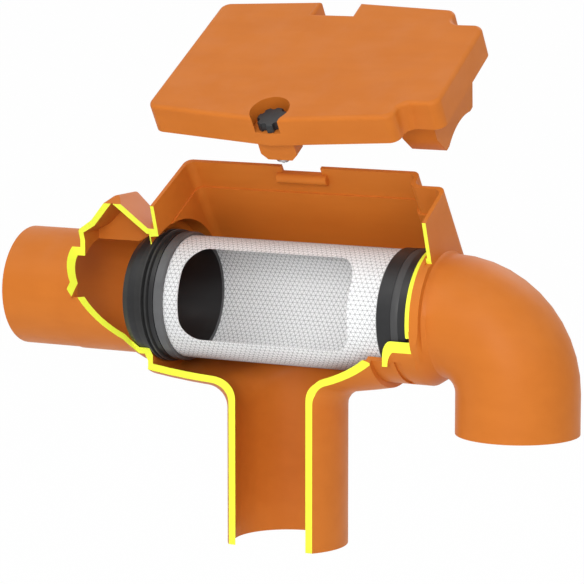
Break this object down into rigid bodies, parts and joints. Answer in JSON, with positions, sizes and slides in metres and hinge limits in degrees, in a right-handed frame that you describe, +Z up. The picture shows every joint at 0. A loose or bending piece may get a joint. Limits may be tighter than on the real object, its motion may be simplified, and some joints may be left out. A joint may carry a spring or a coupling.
{
  "type": "rainwater tank filter",
  "caption": "Cutaway pipe housing with a leaning upstand, lifted lid, star knob and a horizontal mesh tube filter between an inlet pipe, a drop pipe and an outlet elbow.",
  "frame": {"origin": "centre of the open end of the inlet spigot", "axes": "+X along the flow from the inlet towards the outlet, +Z up, the cut-open front faces -Y"},
  "size_m": [0.5517, 0.1747, 0.486],
  "materials": {
    "housing_plastic": "satin moulded, cut faces painted yellow",
    "knob_plastic": "satin",
    "stud_steel": "turned",
    "mesh": "fine light mesh",
    "ring_plastic": "satin",
    "clamp_plastic": "satin",
    "seal_rubber": "soft moulded"
  },
  "bodies": {
    "filter_body": {"housing": "housing_plastic", "lid": "housing_plastic", "filter_mesh": "mesh", "inlet_end_ring": "ring_plastic", "inlet_clamp_ring": "clamp_plastic", "inlet_seal": "seal_rubber", "outlet_end_ring": "ring_plastic", "outlet_seal": "seal_rubber"},
    "knob": {"knob_head": "knob_plastic", "knob_stud": "stud_steel", "knob_retainer": "stud_steel"}
  },
  "joints": [
    {"name": "knob_turn", "type": "hinge", "parent": "filter_body", "child": "knob", "pos_m": [0.275, -0.02956, 0.15487], "axis": [0, -0.5299, 0.848], "continuous": true}
  ]
}
